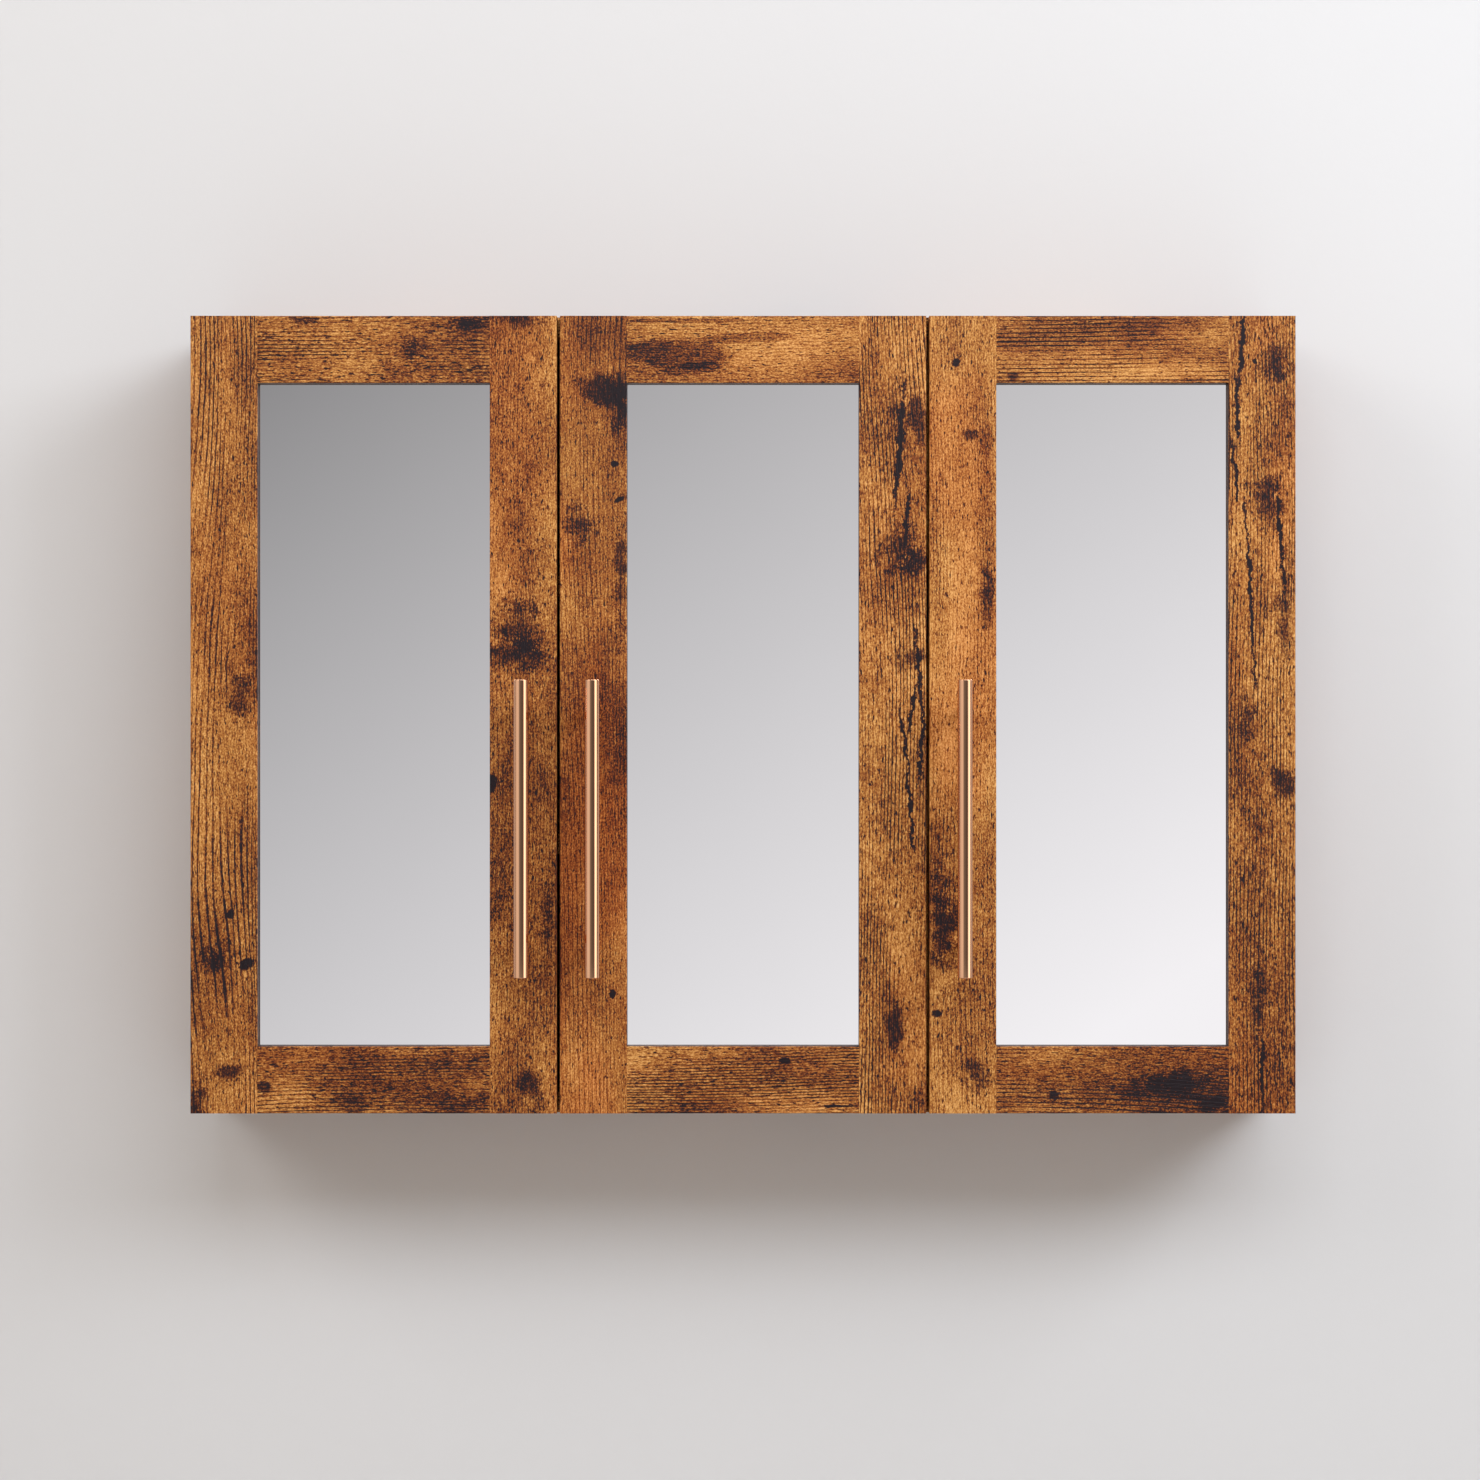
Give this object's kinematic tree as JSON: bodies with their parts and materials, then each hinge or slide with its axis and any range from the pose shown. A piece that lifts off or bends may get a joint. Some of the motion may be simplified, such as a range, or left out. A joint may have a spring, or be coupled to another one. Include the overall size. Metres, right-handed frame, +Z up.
{
  "type": "mirror cabinet",
  "caption": "Wall-hung mirror cabinet: framed mirror doors with bar handles on concealed hinges, over a box with shelves.",
  "frame": {"origin": "on the wall plane, midway between the two screw holes of the hanging rail", "axes": "+X to the right along the width seen from the front, +Y into the wall, +Z up"},
  "size_m": [0.9, 0.185, 0.65],
  "materials": {
    "door_foil": "satin rustic wood foil, brown with dark knots and cracks",
    "carcass_board": "satin wood-grain laminated board",
    "mirror_glass": "polished silvered glass",
    "backing_board": "plain smooth hardboard",
    "raw_wood": "planed softwood",
    "copper_handle": "polished copper-coloured plating",
    "bumper_rubber": "soft clear pad",
    "zinc": "die-cast zinc",
    "steel": "nickel-plated steel"
  },
  "bodies": {
    "cabinet": {"back_panel": "backing_board", "bottom_panel": "carcass_board", "cam_bolts": "steel", "cam_locks": "zinc", "divider_panel": "carcass_board", "door_bumpers": "bumper_rubber", "dowels": "raw_wood", "hanging_rail": "raw_wood", "hinge_arms": "steel", "hinge_plates": "steel", "left_side_panel": "carcass_board", "lower_rail": "raw_wood", "narrow_shelf_lower": "carcass_board", "narrow_shelf_upper": "carcass_board", "plate_screws": "steel", "right_side_panel": "carcass_board", "shelf_pins": "steel", "top_panel": "carcass_board", "wide_shelf_lower": "carcass_board", "wide_shelf_upper": "carcass_board"},
    "left_door": {"left_door_backing_board": "backing_board", "left_door_bottom_rail": "door_foil", "left_door_cup_screws": "steel", "left_door_handle_bar": "copper_handle", "left_door_handle_posts": "copper_handle", "left_door_handle_screws": "steel", "left_door_handle_stile": "door_foil", "left_door_hinge_cups": "steel", "left_door_hinge_stile": "door_foil", "left_door_mirror": "mirror_glass", "left_door_mirror_clips": "steel", "left_door_top_rail": "door_foil"},
    "left_door_links": {"left_door_hinge_links": "steel"},
    "middle_door": {"middle_door_backing_board": "backing_board", "middle_door_bottom_rail": "door_foil", "middle_door_cup_screws": "steel", "middle_door_handle_bar": "copper_handle", "middle_door_handle_posts": "copper_handle", "middle_door_handle_screws": "steel", "middle_door_handle_stile": "door_foil", "middle_door_hinge_cups": "steel", "middle_door_hinge_stile": "door_foil", "middle_door_mirror": "mirror_glass", "middle_door_mirror_clips": "steel", "middle_door_top_rail": "door_foil"},
    "middle_door_links": {"middle_door_hinge_links": "steel"},
    "right_door": {"right_door_backing_board": "backing_board", "right_door_bottom_rail": "door_foil", "right_door_cup_screws": "steel", "right_door_handle_bar": "copper_handle", "right_door_handle_posts": "copper_handle", "right_door_handle_screws": "steel", "right_door_handle_stile": "door_foil", "right_door_hinge_cups": "steel", "right_door_hinge_stile": "door_foil", "right_door_mirror": "mirror_glass", "right_door_mirror_clips": "steel", "right_door_top_rail": "door_foil"},
    "right_door_links": {"right_door_hinge_links": "steel"}
  },
  "joints": [
    {"name": "left_door_swing", "type": "hinge", "parent": "cabinet", "child": "left_door", "pos_m": [-0.4427, -0.145, -0.274], "axis": [0, 0, -1], "range_deg": [0, 95]},
    {"name": "left_door_link_turn", "type": "hinge", "parent": "cabinet", "child": "left_door_links", "pos_m": [-0.417, -0.1368, -0.274], "axis": [0, 0, -1], "range_deg": [-30, 0.5]},
    {"name": "middle_door_swing", "type": "hinge", "parent": "cabinet", "child": "middle_door", "pos_m": [0.14253, -0.145, -0.274], "axis": [0, 0, 1], "range_deg": [0, 95]},
    {"name": "middle_door_link_turn", "type": "hinge", "parent": "cabinet", "child": "middle_door_links", "pos_m": [0.11683, -0.1368, -0.274], "axis": [0, 0, 1], "range_deg": [-30, 0.5]},
    {"name": "right_door_swing", "type": "hinge", "parent": "cabinet", "child": "right_door", "pos_m": [0.4427, -0.145, -0.274], "axis": [0, 0, 1], "range_deg": [0, 95]},
    {"name": "right_door_link_turn", "type": "hinge", "parent": "cabinet", "child": "right_door_links", "pos_m": [0.417, -0.1368, -0.274], "axis": [0, 0, 1], "range_deg": [-30, 0.5]}
  ],
  "couplings": [
    {"joint": "left_door_link_turn", "follows": "left_door_swing", "ratio": -0.30748},
    {"joint": "middle_door_link_turn", "follows": "middle_door_swing", "ratio": -0.30748},
    {"joint": "right_door_link_turn", "follows": "right_door_swing", "ratio": -0.30748}
  ]
}
